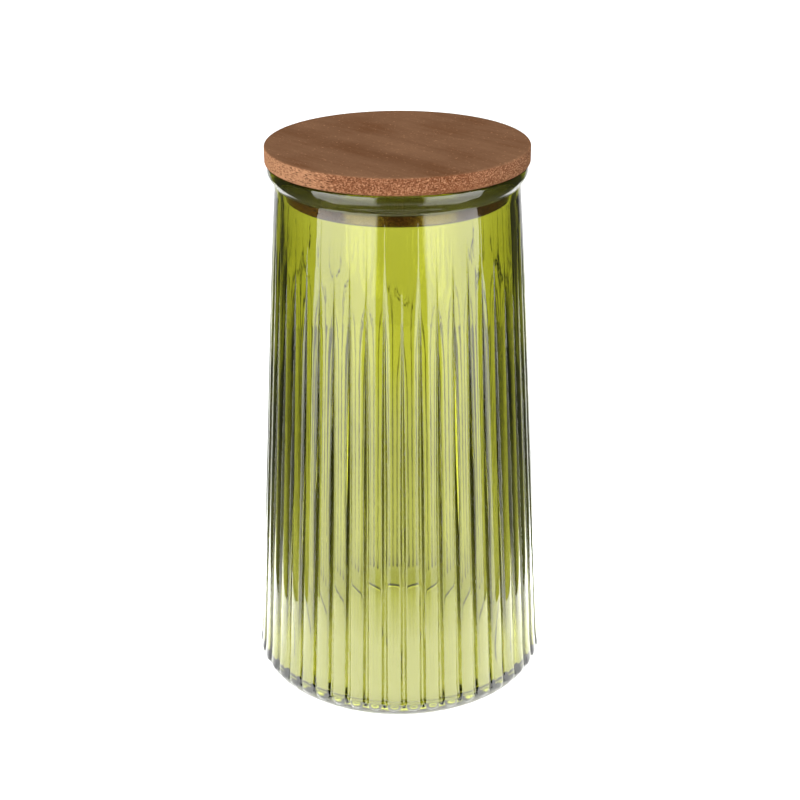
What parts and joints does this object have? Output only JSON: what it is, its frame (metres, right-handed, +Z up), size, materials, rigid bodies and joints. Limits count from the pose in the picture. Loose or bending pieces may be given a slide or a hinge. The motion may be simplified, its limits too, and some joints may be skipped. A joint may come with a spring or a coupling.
{
  "type": "storage jar",
  "caption": "Tapering reeded green glass jar with a rounded collar at the mouth and a push-in wooden lid with a soft seal, for dry food.",
  "frame": {"origin": "centre of the base, on the surface that the jar stands on", "axes": "+Z up along the jar's axis, -Y towards the viewer of the picture"},
  "size_m": [0.1208, 0.1208, 0.224],
  "materials": {
    "green_glass": "clear yellow-green pressed glass, fire polished",
    "face_wood": "brown hardwood, sanded and lightly oiled",
    "plug_wood": "brown hardwood, sanded",
    "silicone": "translucent silicone"
  },
  "bodies": {
    "jar": {"glass_jar": "green_glass"},
    "lid": {"lid_disc": "face_wood", "lid_plug": "plug_wood", "seal_ring": "silicone"}
  },
  "joints": [
    {"name": "lid_lift", "type": "slide", "parent": "jar", "child": "lid", "axis": [0, 0, 1], "range_m": [0, 0.12]}
  ]
}
